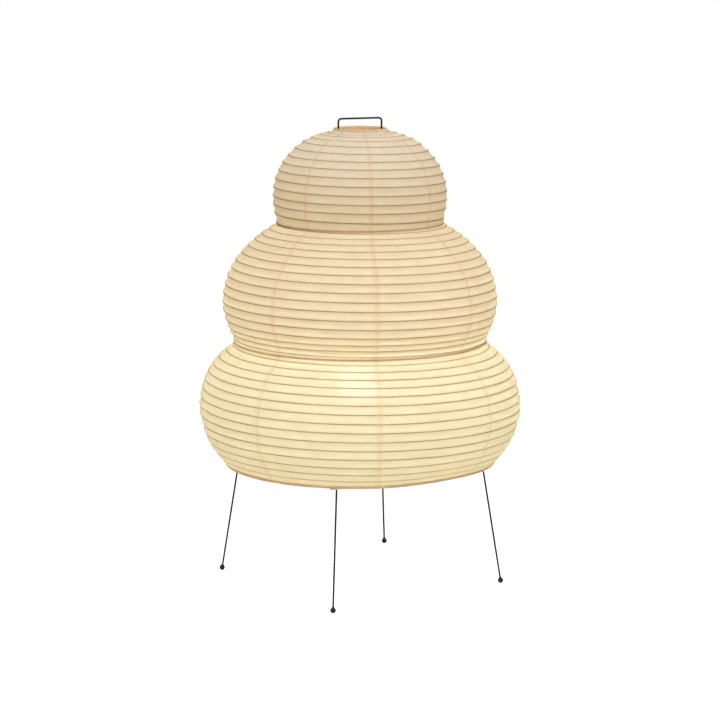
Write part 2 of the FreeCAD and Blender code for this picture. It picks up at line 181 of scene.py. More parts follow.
def spinProfile(bm, profile, steps, sweep=fullTurn, start=0.0, dropPerTurn=0.0, closed=False):
    # profile holds (radius, height) pairs; it is turned round Z, dropping as it goes
    c, s = math.cos(start), math.sin(start)
    verts = [bm.verts.new((r * c, r * s, z)) for r, z in profile]
    pairs = list(zip(verts, verts[1:]))
    if closed:
        pairs.append((verts[-1], verts[0]))
    edges = [bm.edges.new(pair) for pair in pairs]
    full = abs(sweep - fullTurn) < 1e-9 and dropPerTurn == 0
    bmesh.ops.spin(
        bm, geom=verts + edges, cent=(0, 0, 0), axis=(0, 0, 1), angle=sweep, steps=steps,
        dvec=(0, 0, -dropPerTurn * sweep / fullTurn / steps), use_merge=full, use_duplicate=False,
    )


def closeEnds(bm):
    rims = [edge for edge in bm.edges if edge.is_boundary]
    if rims:
        bmesh.ops.edgeloop_fill(bm, edges=rims)


def outwards(bm, open=False):
    # faces point away from the axis; an open sheet is judged by its widest face
    bmesh.ops.remove_doubles(bm, verts=bm.verts[:], dist=1e-6)
    bmesh.ops.recalc_face_normals(bm, faces=bm.faces[:])
    if open:
        widest = max(bm.faces, key=lambda face: face.calc_center_median().xy.length)
        if widest.normal.xy.dot(widest.calc_center_median().xy) < 0:
            bmesh.ops.reverse_faces(bm, faces=bm.faces[:])


class Finish:
    # a material, and short ways to add its nodes
    def __init__(self, name, color, roughness, **values):
        self.material = bpy.data.materials.new(name)
        self.material.use_nodes = True
        self.tree = self.material.node_tree
        self.shader = self.tree.nodes["Principled BSDF"]
        self.set("Base Color", color)
        self.set("Roughness", roughness)
        for key, value in values.items():
            self.set(key.replace("_", " "), value)

    def set(self, socket, value):
        if isinstance(value, tuple):
            value = (*value, 1)
        self.shader.inputs[socket].default_value = value

    def add(self, kind, **values):
        node = self.tree.nodes.new(kind)
        for key, value in values.items():
            setattr(node, key, value)
        return node

    def link(self, fromSocket, toSocket):
        self.tree.links.new(fromSocket, toSocket)

    def feed(self, fromSocket, name):
        self.link(fromSocket, self.shader.inputs[name])

    def plug(self, node, values):
        for place, value in values:
            if value is None:
                continue
            if isinstance(value, tuple):
                node.inputs[place].default_value = (*value, 1)
            elif isinstance(value, (int, float)):
                node.inputs[place].default_value = value
            else:
                self.link(value, node.inputs[place])

    def math(self, operation, a, b=None, c=None):
        node = self.add("ShaderNodeMath", operation=operation)
        self.plug(node, ((0, a), (1, b), (2, c)))
        return node.outputs[0]

    def noise(self, vector, scale, detail=3.0, roughness=0.55):
        node = self.add("ShaderNodeTexNoise")
        self.plug(node, (("Scale", scale), ("Detail", detail), ("Roughness", roughness), ("Vector", vector)))
        return node.outputs["Fac"]

    def stretch(self, vector, scale, turn=0.0):
        node = self.add("ShaderNodeMapping")
        node.inputs["Scale"].default_value = scale
        node.inputs["Rotation"].default_value = (0, 0, turn)
        self.link(vector, node.inputs["Vector"])
        return node.outputs[0]

    def spread(self, value, low, high, newLow=0.0, newHigh=1.0, smooth=False):
        node = self.add("ShaderNodeMapRange", interpolation_type="SMOOTHSTEP" if smooth else "LINEAR")
        self.plug(node, ((0, value), (1, low), (2, high), (3, newLow), (4, newHigh)))
        return node.outputs[0]

    def mix(self, factor, a, b, blend="MIX"):
        node = self.add("ShaderNodeMix", data_type="RGBA", blend_type=blend)
        self.plug(node, ((0, factor), (6, a), (7, b)))
        return node.outputs[2]

    def place(self):
        return self.add("ShaderNodeTexCoord").outputs["Object"]

    def attribute(self, name, output="Fac"):
        return self.add("ShaderNodeAttribute", attribute_name=name).outputs[output]

    def bump(self, height, distance, strength=1.0):
        node = self.add("ShaderNodeBump")
        self.plug(node, (("Strength", strength), ("Distance", distance), ("Height", height)))
        self.feed(node.outputs[0], "Normal")
        return node.outputs[0]

    def letThrough(self, color, share, normal=None):
        # the light of the bulb on the other side
        through = self.add("ShaderNodeBsdfTranslucent")
        self.link(color, through.inputs["Color"])
        if normal is not None:
            self.link(normal, through.inputs["Normal"])
        mix = self.add("ShaderNodeMixShader")
        mix.inputs[0].default_value = share
        self.link(self.shader.outputs[0], mix.inputs[1])
        self.link(through.outputs[0], mix.inputs[2])
        self.link(mix.outputs[0], self.tree.nodes["Material Output"].inputs["Surface"])

    def onNodes(self, *names):
        # gives the finish to nodes that keep their own shape
        for name in names:
            for slot in bpy.data.objects[name].material_slots:
                slot.material = self.material


# ---- outline of the shade ----
# Each arc runs through three places, as radius and height in millimetres; two places are a straight run.
shadeOutline = {
    "arcs": [
        ((41.9, 733.0), (45.6, 729.8), (58.0, 726.6)),
        ((58.0, 726.6), (86.0, 716.2), (110.9, 696.7)),
        ((110.9, 696.7), (132.3, 665.2), (139.7, 628.1)),
        ((139.7, 628.1), (138.6, 608.0), (134.4, 590.0)),
        ((134.4, 590.0), (134.6, 580.5)),
        ((134.6, 580.5), (173.0, 555.0), (202.5, 522.0)),
        ((202.5, 522.0), (217.9, 484.0), (221.6, 457.0)),
        ((221.6, 457.0), (216.0, 427.0), (204.5, 400.5)),
        ((204.5, 400.5), (204.3, 386.0)),
        ((204.3, 386.0), (241.0, 353.0), (256.0, 316.0)),
        ((256.0, 316.0), (260.0, 289.0), (256.0, 261.0)),
        ((256.0, 261.0), (242.6, 226.2), (220.8, 199.1)),
    ],
    "arcSteps": 16,
    "samples": 4000, "smoothing": 21,  # of the whole outline, and of its outward direction
    "ribPitch": 0.0142,
    "ribStart": 0.515,  # where the spiral starts, in turns below the top rim
    # how far the ribs stand off an even pitch, as turns below the top rim and a share of a turn
    "ribDrift": [
        (0, 0), (1.1, 0.30), (3.1, 0.33), (4.1, 0.23), (5.1, 0.10), (6.1, 0), (11.1, 0.02), (12.1, 0.08),
        (13.0, 0.05), (14.0, -0.17), (18.1, -0.22), (20.1, -0.33), (24.1, -0.38), (28.1, -0.38), (29.1, 0),
        (30.1, 0.35), (31.1, 0.36), (33.1, 0.20), (40.1, 0.23), (42.1, 0.15), (43.1, 0.06), (45.1, 0),
    ],
    "neckHeights": (0.5835, 0.393),
    "foldKeep": 0.15,
    # the bottom rim sits a little crooked: its rise all round, its tilt, its highest side, and how far up
    # the shade that is felt
    "hemRise": 0.0010, "hemTilt": 0.0012, "hemSide": 53.0, "hemHeight": 0.199, "hemReach": 0.075,
    # between two legs it is drawn up a little more
    "hemLift": 0.0028, "liftSide": -48.0, "liftWidth": 40.0,
}


def arcPoints(places, steps):
    if len(places) == 2:
        a, b = (np.array(p) for p in places)
        return [a + (b - a) * i / steps for i in range(steps + 1)]
    (ax, ay), (bx, by), (cx, cy) = places
    d = 2 * (ax * (by - cy) + bx * (cy - ay) + cx * (ay - by))
    a2, b2, c2 = ax * ax + ay * ay, bx * bx + by * by, cx * cx + cy * cy
    ux = (a2 * (by - cy) + b2 * (cy - ay) + c2 * (ay - by)) / d
    uy = (a2 * (cx - bx) + b2 * (ax - cx) + c2 * (bx - ax)) / d
    radius = math.hypot(ax - ux, ay - uy)
    start = math.atan2(ay - uy, ax - ux)
    end = math.atan2(cy - uy, cx - ux)
    angles = np.linspace(start, end, steps + 1)
    return [np.array((ux + radius * math.cos(t), uy + radius * math.sin(t))) for t in angles]


class Outline:
    # radius, height and outward direction at a distance down the paper, counted in turns of the rib
    def __init__(self):
        points = []
        for places in shadeOutline["arcs"]:
            points += arcPoints(places, shadeOutline["arcSteps"])[0 if not points else 1:]
        points = np.array(points) / 1000
        runs = np.linalg.norm(np.diff(points, axis=0), axis=1)
        along = np.concatenate(([0], np.cumsum(runs))) / shadeOutline["ribPitch"]
        along += np.interp(along, *zip(*shadeOutline["ribDrift"]))
        self.turns = float(along[-1])
        self.along = np.linspace(0, self.turns, shadeOutline["samples"] + 1)
        self.radius = np.interp(self.along, along, points[:, 0])
        self.height = np.interp(self.along, along, points[:, 1])
        smoothing = np.ones(shadeOutline["smoothing"]) / shadeOutline["smoothing"]
        outR = np.convolve(-np.gradient(self.height), smoothing, "same")
        outZ = np.convolve(np.gradient(self.radius), smoothing, "same")
        size = np.hypot(outR, outZ)
        self.outR, self.outZ = outR / size, outZ / size

    def at(self, turn):
        i = min(max(turn, 0.0), self.turns) / self.turns * shadeOutline["samples"]
        low = min(int(i), shadeOutline["samples"] - 1)
        t = i - low
        columns = (self.radius, self.height, self.outR, self.outZ)
        return [float(c[low] * (1 - t) + c[low + 1] * t) for c in columns]

    def turnAt(self, height):
        return float(np.interp(-height, -self.height, self.along))


outline = Outline()
neckTurns = [outline.turnAt(height) for height in shadeOutline["neckHeights"]]
print("outline:", round(outline.turns, 2), "turns of the rib")


def ribTurn(angle):
    # the rib crosses this angle wherever a turn less this is a whole number
    return angle / fullTurn + shadeOutline["ribStart"]


def rolled(bm, start, sweep, steps, section, closed=False):
    # a section on a cylinder of radius 1 m, swept round and down with the rib: what is past 1 stands
    # off the paper, and the height counts turns down the paper
    profile = [(1 + lift, turn) for lift, turn in section]
    spinProfile(bm, profile, steps, sweep, start, dropPerTurn=-1.0, closed=closed)


def hemRise(angle, height):
    near = max(0.0, 1 - max(0.0, height - shadeOutline["hemHeight"]) / shadeOutline["hemReach"])
    tilt = shadeOutline["hemTilt"] * math.cos(angle - math.radians(shadeOutline["hemSide"]))
    past = abs((math.degrees(angle) - shadeOutline["liftSide"] + 180) % 360 - 180) / shadeOutline["liftWidth"]
    lift = shadeOutline["hemLift"] * math.cos(min(past, 1.0) * math.pi / 2) ** 2
    return (shadeOutline["hemRise"] + tilt + lift) * near * near


def laidOn(vert):
    # carries a vertex of a rolled section to its place on the shade
    turn = vert.co.z
    angle = math.atan2(vert.co.y, vert.co.x)
    lift = math.hypot(vert.co.x, vert.co.y) - 1
    radius, height, outR, outZ = outline.at(turn)
    r = radius + outR * lift
    vert.co = (r * math.cos(angle), r * math.sin(angle), height + outZ * lift + hemRise(angle, height))


def foldsWithShade(piece):
    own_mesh(piece)


# ---- paper ----
paper = {
    "gores": 8,
    "firstSeam": -83.0,  # degrees from +X
    "columns": 22,
    "rows": 8,  # rows of faces from one turn of the rib to the next
    # how far the paper sags between ribs: the usual share of it, how much that varies, and the curve's fullness
    "sag": 0.0021, "sagShare": 0.85, "slack": 0.5, "sagPower": 0.85,
    # the paper is held flat at the top rim, the bottom rim and the hoops, over so many turns of the rib
    "topHold": 0.8, "hemHold": 2.2, "hoopHold": 0.6,
    "crest": 0.10,  # share of the pitch that lies over the rib
    "lap": 0.0036, "nextFrom": 0.8,  # the lap's width, and how far into it the next gore starts
    "lapRise": 0.0004, "riseFrom": 0.96,
    "seamWave": 0.0010,
    "wrinkle": 0.0005,
    # lit from the front and from the bulb behind; both colours shift with the height as painted light: the face
    # turns paler and cooler towards the crown, where more light falls from above, and the glow through the
    # paper is whiter low down near the bulb and warmer higher up
    "faceColor": (0.83, 0.73, 0.68), "paintedSkyTop": (0.94, 0.885, 0.90), "paintedSkyFade": (0.62, 0.725),
    "glowColor": (0.951, 0.917, 0.578), "paintedGlowTop": (0.98, 0.90, 0.60), "paintedGlowFade": (0.33, 0.47),
    "glowShare": 0.5,
    # shadows on the paper: a rib's line and the shade beside it as shares of the pitch, a hoop's in metres
    "ribTint": (0.55, 0.43, 0.25), "ribLine": (0.029, 0.064), "ribShade": (0.05, 0.22), "shadeDepth": 0.18,
    "hoopTint": (0.76, 0.60, 0.38), "hoopLine": (0.0008, 0.0022),
    # painted shade of the lap, where the bulb's light comes through two layers of paper
    "paintedLapShade": (0.955, 0.91, 0.85),
    "seeThrough": 0.013,  # so that the bulb shows as a bright spot
}


def makePaperMaterial():
    f = Finish(
        "lanternPaper", paper["faceColor"], 0.85,
        Specular_IOR_Level=0.25, IOR=1.06, Transmission_Weight=paper["seeThrough"],
    )
    sheet = f.add("ShaderNodeUVMap", uv_map="paperMap").outputs[0]
    split = f.add("ShaderNodeSeparateXYZ")
    f.link(sheet, split.inputs[0])
    spiral = f.attribute("spiral")
    height = f.attribute("restHeight")
    lapped = f.attribute("lapped")

    long = f.stretch(sheet, (1.0, 0.11, 1.0))
    cloud = f.noise(long, 7.0, 4.0, 0.6)
    pulp = f.noise(long, 60.0, 3.0, 0.7)
    slant = f.stretch(sheet, (6.0, 0.9, 1.0), 0.5)
    fibre = f.spread(f.noise(slant, 9.0, 2.0, 0.5), 0.66, 0.74)

    wobble = f.math("MULTIPLY", f.math("SUBTRACT", f.noise(long, 24.0, 1.0), 0.5), 0.03)
    share = f.math("FRACT", f.math("ADD", f.math("ADD", spiral, 100.5), wobble))
    away = f.math("ABSOLUTE", f.math("SUBTRACT", share, 0.5))
    line = f.spread(away, *paper["ribLine"], 1.0, 0.0, smooth=True)
    shade = f.spread(away, *paper["ribShade"], 1.0, 0.0, smooth=True)
    fade = f.spread(f.noise(long, 13.0, 2.0), 0.3, 0.7, 0.75, 1.0)
    fade = f.math("MULTIPLY", fade, f.spread(lapped, 0.0, 1.0, 1.0, 0.6))
    hoop = None
    for neck in shadeOutline["neckHeights"]:
        off = f.math("ABSOLUTE", f.math("SUBTRACT", height, neck))
        mark = f.spread(off, *paper["hoopLine"], 1.0, 0.0, smooth=True)
        hoop = mark if hoop is None else f.math("MAXIMUM", hoop, mark)

    tone = f.mix(f.spread(cloud, 0.3, 0.72), (0.95, 0.925, 0.88), (1.0, 0.99, 0.975))
    tone = f.mix(f.spread(pulp, 0.35, 0.75, 0.0, 0.5), tone, (0.92, 0.88, 0.82), "MULTIPLY")
    tone = f.mix(f.math("MULTIPLY", fibre, 0.3), tone, (0.84, 0.76, 0.64), "MULTIPLY")
    # painted shade: the lap is darker, as the light from the bulb comes through two layers of paper there
    tone = f.mix(lapped, tone, paper["paintedLapShade"], "MULTIPLY")
    tone = f.mix(f.math("MULTIPLY", shade, paper["shadeDepth"]), tone, (0.88, 0.80, 0.68), "MULTIPLY")
    tone = f.mix(f.math("MULTIPLY", line, fade), tone, paper["ribTint"], "MULTIPLY")
    tone = f.mix(hoop, tone, paper["hoopTint"], "MULTIPLY")

    relief = f.math("ADD", f.math("MULTIPLY", pulp, 0.6), f.math("MULTIPLY", fibre, 0.4))
    surface = f.bump(relief, 0.0005, 0.4)
    # painted light: the face colour turns paler and cooler towards the crown, where more light falls from above
    face = f.mix(f.spread(height, *paper["paintedSkyFade"], smooth=True), paper["faceColor"], paper["paintedSkyTop"])
    # painted light: the light through the paper is whiter low down near the bulb and warmer higher up
    glow = f.mix(f.spread(height, *paper["paintedGlowFade"], smooth=True), paper["glowColor"], paper["paintedGlowTop"])
    f.feed(f.mix(1.0, tone, face, "MULTIPLY"), "Base Color")
    f.letThrough(f.mix(1.0, tone, glow, "MULTIPLY"), paper["glowShare"], surface)
    return f.material


def sagAt(turn, angle):
    share = (turn - ribTurn(angle)) % 1.0
    near = min(share, 1 - share)
    t = max(0.0, (near - paper["crest"] / 2) / (0.5 - paper["crest"] / 2))
    uneven = noise.noise((math.cos(angle) * 3.1, math.sin(angle) * 3.1, turn * 0.9))
    slack = paper["sagShare"] + paper["slack"] * uneven
    toHoop = min(abs(turn - neck) for neck in neckTurns)
    free = (turn / paper["topHold"], (outline.turns - turn) / paper["hemHold"], toHoop / paper["hoopHold"])
    edge = max(0.0, min(1.0, *free))
    return -paper["sag"] * slack * edge * math.sin(t * math.pi / 2) ** paper["sagPower"]


def seamShift(turn, number):
    return paper["seamWave"] * noise.noise((turn * 0.45, (number % paper["gores"]) * 7.3, 0.5))


def makeGore(number, material):
    goreAngle = fullTurn / paper["gores"]
    column = goreAngle / paper["columns"]
    start = math.radians(paper["firstSeam"]) + number * goreAngle
    sweep = goreAngle + column  # the last column becomes the lap
    firstTurn = math.floor(-ribTurn(start + sweep)) - 1
    lastTurn = math.ceil(outline.turns - ribTurn(start)) + 1
    rows = (lastTurn - firstTurn) * paper["rows"]
    section = [(0.0, ribTurn(start) + firstTurn + i / paper["rows"]) for i in range(rows + 1)]
    bm = bmesh.new()
    rolled(bm, start, sweep, paper["columns"] + 1, section)
    for edge, side in ((0.0, -1), (outline.turns, 1)):
        bmesh.ops.bisect_plane(
            bm, geom=bm.verts[:] + bm.edges[:] + bm.faces[:], dist=1e-7,
            plane_co=(0, 0, edge), plane_no=(0, 0, side), clear_outer=True,
        )
    bm.verts.index_update()
    sheet = bm.loops.layers.uv.new("paperMap")
    layers = {name: bm.verts.layers.float.new(name) for name in ("spiral", "restHeight", "lapped")}
    across = {}
    for vert in bm.verts:
        turn = vert.co.z
        past = (math.atan2(vert.co.y, vert.co.x) - start + 0.5) % fullTurn - 0.5
        radius, height, outR, outZ = outline.at(turn)
        firstEdge = (paper["nextFrom"] * paper["lap"] + seamShift(turn, number)) / radius
        lastEdge = goreAngle + seamShift(turn, number + 1) / radius
        share = past / goreAngle
        if share > 1.0001:
            angle = start + lastEdge + paper["lap"] / radius
            lift = paper["lapRise"]
        else:
            angle = start + firstEdge + share * (lastEdge - firstEdge)
            lift = paper["lapRise"] * max(0.0, (share - paper["riseFrom"]) / (1 - paper["riseFrom"]))
        lift += sagAt(turn, angle) + paper["wrinkle"] * noise.noise((angle * 9.0, turn * 1.7, 3.0))
        r = radius + outR * lift
        vert.co = (r * math.cos(angle), r * math.sin(angle), height + outZ * lift + hemRise(angle, height))
        vert[layers["spiral"]] = turn - ribTurn(angle)
        vert[layers["restHeight"]] = height
        vert[layers["lapped"]] = 1.0 if share > 0.9999 else 0.0
        across[vert.index] = (number + (angle - start) / goreAngle, turn)
    for face in bm.faces:
        for loop in face.loops:
            loop[sheet].uv = across[loop.vert.index]
    outwards(bm, open=True)
    node = "paper_panel_" + str(number + 1)
    piece = finishPiece("paperGore" + str(number + 1), bm, material, "shade", [node])
    foldsWithShade(piece)


paperMaterial = makePaperMaterial()
for goreNumber in range(paper["gores"]):
    makeGore(goreNumber, paperMaterial)
print("paper done")


# ---- spiral rib ----
rib = {
    "width": 0.0012, "depth": 0.0011,
    "sides": 6,
    "stepsPerTurn": 80,
    "gap": 0.00015,
    "endTurns": 0.45,
    "spliceLength": 0.024, "spliceGrowth": 1.5, "spliceSteps": 10,
    # height and angle of the places where two lengths of bamboo are joined
    "splices": [
        (0.628, -69.6), (0.4544, -109.4), (0.3694, -86.9), (0.336, -63.3), (0.672, 40), (0.603, 150),
        (0.655, -150), (0.53, 75), (0.502, -165), (0.432, 12), (0.47, 128), (0.305, 100), (0.262, -148),
        (0.345, 168), (0.238, 28), (0.31, -18), (0.222, -112), (0.412, -30),
    ],
    "color": (0.42, 0.29, 0.16), "knotColor": (0.22, 0.13, 0.06),
}


def makeBambooMaterial():
    f = Finish("splitBamboo", rib["color"], 0.6, Specular_IOR_Level=0.35)
    where = f.place()
    grain = f.noise(f.stretch(where, (60, 60, 700)), 4.0, 3.0, 0.6)
    blotch = f.noise(where, 38.0, 2.0)
    color = f.mix(f.spread(grain, 0.3, 0.7), rib["color"], (0.55, 0.41, 0.24))
    color = f.mix(f.spread(blotch, 0.62, 0.72), color, rib["knotColor"])
    f.feed(color, "Base Color")
    f.feed(f.spread(grain, 0.3, 0.7, 0.5, 0.72), "Roughness")
    f.bump(grain, 0.0002, 0.5)
    return f.material


def ribSection(growth=1.0):
    places = []
    for i in range(rib["sides"]):
        t = fullTurn * i / rib["sides"]
        lift = rib["depth"] / 2 * growth * math.cos(t) - rib["depth"] / 2 * growth - rib["gap"]
        places.append((lift, rib["width"] / 2 * growth * math.sin(t) / shadeOutline["ribPitch"]))
    return places


def makeRib(name, node, firstTurn, lastTurn, material):
    bm = bmesh.new()
    start = fullTurn * (firstTurn - shadeOutline["ribStart"])
    section = [(lift, firstTurn + turn) for lift, turn in ribSection()]
    steps = round((lastTurn - firstTurn) * rib["stepsPerTurn"])
    rolled(bm, start, (lastTurn - firstTurn) * fullTurn, steps, section, closed=True)
    for height, degrees in rib["splices"]:
        turn = outline.turnAt(height)
        angle = math.radians(degrees)
        turn = ribTurn(angle) + round(turn - ribTurn(angle))
        if not firstTurn < turn < lastTurn:
            continue
        half = rib["spliceLength"] / 2 / outline.at(turn)[0]
        joined = [(lift, turn - half / fullTurn + off) for lift, off in ribSection(rib["spliceGrowth"])]
        rolled(bm, angle - half, 2 * half, rib["spliceSteps"], joined, closed=True)
    closeEnds(bm)
    for vert in bm.verts:
        laidOn(vert)
    bmesh.ops.recalc_face_normals(bm, faces=bm.faces[:])
    foldsWithShade(finishPiece(name, bm, material, "shade", [node]))


bamboo = makeBambooMaterial()
ribEnds = [rib["endTurns"], *neckTurns, outline.turns - rib["endTurns"]]
for tier, ribNode in enumerate(("spiral_rib_upper", "spiral_rib_middle", "spiral_rib_lower")):
    makeRib(ribNode.replace("_", "") + "Bamboo", ribNode, ribEnds[tier], ribEnds[tier + 1], bamboo)
print("ribs done")


# ---- neck hoops ----
hoop = {
    "wire": 0.0022,
    "sides": 8, "steps": 128, "lapSteps": 12,
    "lapLength": 0.05, "lapStart": 0.9, "lapIn": 0.0010, "lapDown": 0.0003,
    "fullShare": 0.5, "lapShare": 0.42,  # the half widths, as shares of the wire
    "color": (0.40, 0.26, 0.14),
}


def makeHoopMaterial():
    f = Finish("neckHoop", hoop["color"], 0.55, Specular_IOR_Level=0.4)
    where = f.place()
    grain = f.noise(f.stretch(where, (40, 40, 600)), 4.0, 3.0, 0.6)
    f.feed(f.mix(f.spread(grain, 0.3, 0.7), hoop["color"], (0.50, 0.34, 0.19)), "Base Color")
    f.bump(grain, 0.0002, 0.5)
    return f.material


def makeHoop(name, node, material):
    low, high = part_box(node)
    middle = (low[2] + high[2]) / 2
    ring = (high[0] - low[0]) / 2 - hoop["wire"] / 2
    bm = bmesh.new()
    around = (hoop["fullShare"], 0.0, 0.0)
    lapped = (hoop["lapShare"], hoop["lapIn"], hoop["lapDown"])  # its end, which lies beside its start
    for share, inner, drop in (around, lapped):
        radius = hoop["wire"] * share
        profile = []
        for i in range(hoop["sides"]):
            t = fullTurn * i / hoop["sides"]
            profile.append((ring - inner + radius * math.cos(t), middle - drop + radius * math.sin(t)))
        if drop:
            sweep = hoop["lapLength"] / ring
            spinProfile(bm, profile, hoop["lapSteps"], sweep, hoop["lapStart"], closed=True)
        else:
            spinProfile(bm, profile, hoop["steps"], closed=True)
    closeEnds(bm)
    outwards(bm)
    finishPiece(name, bm, material, node, [node])


hoopMaterial = makeHoopMaterial()
makeHoop("upperNeckHoop", "neck_ring_upper", hoopMaterial)
makeHoop("lowerNeckHoop", "neck_ring_lower", hoopMaterial)
print("neck hoops done")


# ---- folded paper bindings on the two rims ----
binding = {
    "wall": 0.0003,
    "steps": 160,
    "wave": 0.00035,
    "tabLength": 0.020,
    "tabAngle": -102.2,
    "topTabAngle": 62.0,
    "tabRise": 0.0006, "tabDrop": 0.0017, "innerTabRise": 0.4, "topTabDrop": 0.1,
    "color": (0.93, 0.85, 0.70), "edgeColor": (0.84, 0.73, 0.55),  # at the bottom rim
    "mouthColor": (0.95, 0.82, 0.60), "mouthHeight": 0.5,  # at the top rim, and what counts as the top
    "pulpColor": (0.95, 0.88, 0.70), "glowTint": (1.0, 0.92, 0.66), "glowShare": 0.62,
    "rowGap": 0.01,  # between rows of the section before it is folded
    # radius and height, in millimetres, from the outer edge over the wire to the inner edge
    "bottomFold": [(221.0, 198.9), (220.5, 198.1), (220.1, 197.1), (219.85, 196.1), (219.7, 195.1),
                   (219.5, 194.65), (219.32, 195.1), (219.28, 197.0), (219.28, 199.3), (219.0, 200.35),
                   (218.2, 200.95), (217.2, 200.9)],
    "topFold": [(41.75, 733.1), (41.4, 733.5), (40.8, 733.65), (40.1, 733.4), (39.5, 732.7), (39.1, 731.3),
                (39.0, 729.5), (39.0, 727.5), (39.2, 725.6)],
}


def makeBindingMaterial():
    f = Finish("bindingPaper", binding["color"], 0.85, Specular_IOR_Level=0.25)
    where = f.place()
    pulp = f.noise(f.stretch(where, (1, 1, 2.5)), 900.0, 3.0, 0.7)
    cloud = f.noise(where, 45.0, 3.0)
    split = f.add("ShaderNodeSeparateXYZ")
    f.link(where, split.inputs[0])
    color = f.mix(f.spread(cloud, 0.3, 0.7), binding["edgeColor"], binding["color"])
    atTop = f.math("GREATER_THAN", split.outputs["Z"], binding["mouthHeight"])
    color = f.mix(atTop, color, binding["mouthColor"])
    color = f.mix(f.spread(pulp, 0.4, 0.75, 0.0, 0.4), color, binding["pulpColor"])
    f.feed(color, "Base Color")
    f.bump(pulp, 0.0003, 0.5)
    f.letThrough(f.mix(1.0, color, binding["glowTint"], "MULTIPLY"), binding["glowShare"])
    return f.material


def makeBinding(name, node, body, foldName, tabName, material):
    bm = bmesh.new()
    fold = binding[foldName]
    start = math.radians(binding[tabName])
    lap = binding["tabLength"] / (fold[0][0] / 1000)
    rows = len(fold)
    section = [(row * binding["rowGap"], 0.0) for row in range(rows)]
    rolled(bm, start, fullTurn + lap, binding["steps"], section)
    for vert in bm.verts:
        row = round((vert.co.xy.length - 1) / binding["rowGap"])
        along = vert.co.z * fullTurn
        angle = start + along
        edge = 1 - min(row, rows - 1 - row) / (rows / 2)
        over = max(0.0, min(1.0, (lap - along) / lap * 1.6))  # the start lies on the end
        rise = binding["tabRise"] * over * (binding["innerTabRise"] if row else 1.0)
        r = fold[row][0] / 1000 + rise
        wave = 2 * binding["wave"] * edge * noise.noise((math.cos(angle) * 6, math.sin(angle) * 6, row * 3.0))
        height = fold[row][1] / 1000
        drop = binding["tabDrop"] * over * (1.0 if height < binding["mouthHeight"] else binding["topTabDrop"])
        vert.co = (r * math.cos(angle), r * math.sin(angle), height + wave - drop + hemRise(angle, height))
    outwards(bm, open=True)
    piece = finishPiece(name, bm, material, body, [node])
    solidify(piece, binding["wall"], 0.0)


bindingMaterial = makeBindingMaterial()
makeBinding("bottomBinding", "bottom_rim_binding", "bottom_rim", "bottomFold", "tabAngle", bindingMaterial)
makeBinding("topBinding", "top_rim_binding", "shade", "topFold", "topTabAngle", bindingMaterial)
print("bindings done")


# ---- feet ----
foot = {
    "ring": 0.2317,
    "firstAngle": -10.4,
    "ball": 0.0045,
    "height": 0.0043,
    "lean": (-0.1627, 0.9867),  # the way the leg goes up from the foot, outwards and up
    "collarRadius": 0.002208, "collarFoot": 0.0044,
    "lipRadius": 0.00185, "lipHeight": 0.0056, "mouthHeight": 0.0057,
    "socketRadius": 0.00152, "socketFloor": 0.0030,
    "topAngle": 58,  # how far up the ball goes before the collar, in degrees
    "levelFrom": -0.001, "levelRun": 0.004,  # the ball's underside stays level, and leans from here up
    "rings": 12, "steps": 32,
    "color": (0.008, 0.0065, 0.0055),
}


def makeFootMaterial():
    f = Finish("footPlastic", foot["color"], 0.42, Specular_IOR_Level=0.2)
    where = f.place()
    fine = f.noise(where, 1500.0, 2.0)
    dust = f.noise(where, 220.0, 3.0)
    f.feed(f.mix(f.spread(dust, 0.45, 0.8, 0.0, 0.5), foot["color"], (0.03, 0.026, 0.022)), "Base Color")
    f.feed(f.spread(dust, 0.3, 0.8, 0.34, 0.6), "Roughness")
    f.bump(fine, 0.0001, 0.25)
    return f.material


def makeFoot(number, material):
    bm = bmesh.new()
    radius = foot["ball"]
    flat = math.sqrt(radius ** 2 - foot["height"] ** 2)
    lowest = -math.atan2(foot["height"], flat)
    highest = math.radians(foot["topAngle"])
    profile = [(0.0, -foot["height"])]
    for i in range(foot["rings"] + 1):
        t = lowest + (highest - lowest) * i / foot["rings"]
        profile.append((radius * math.cos(t), radius * math.sin(t)))
    profile += [(foot["collarRadius"], foot["collarFoot"]), (foot["lipRadius"], foot["lipHeight"])]
    profile += [(foot["socketRadius"], foot["mouthHeight"]), (foot["socketRadius"], foot["socketFloor"])]
    profile.append((0.0, foot["socketFloor"]))
    spinProfile(bm, profile, foot["steps"])
    outwards(bm)
    tilt = math.atan2(foot["lean"][0], foot["lean"][1])
    turn = math.radians(foot["firstAngle"] + 90 * number)
    leaning = Matrix.Rotation(tilt, 4, "Y")
    for vert in bm.verts:
        share = max(0.0, min(1.0, (vert.co.z - foot["levelFrom"]) / foot["levelRun"]))
        vert.co = vert.co.lerp(leaning @ vert.co, share)
    place = Matrix.Rotation(turn, 4, "Z") @ Matrix.Translation((foot["ring"], 0, foot["height"]))
    bmesh.ops.transform(bm, matrix=place, verts=bm.verts[:])
    name = "foot_" + str(number + 1)
    finishPiece("ballFoot" + str(number + 1), bm, material, "frame", [name])


footMaterial = makeFootMaterial()
for footNumber in range(4):
    makeFoot(footNumber, footMaterial)
print("feet done")


# ---- screw cap of the bulb ----
screwCap = {
    "radius": 0.01305,
    "threadDepth": 0.0007,
    "pitch": 0.003629,
    "samples": 8,
    "steps": 48,
    "plainTop": 0.0028, "plainFade": 0.001,
    "wall": 0.0004,
}


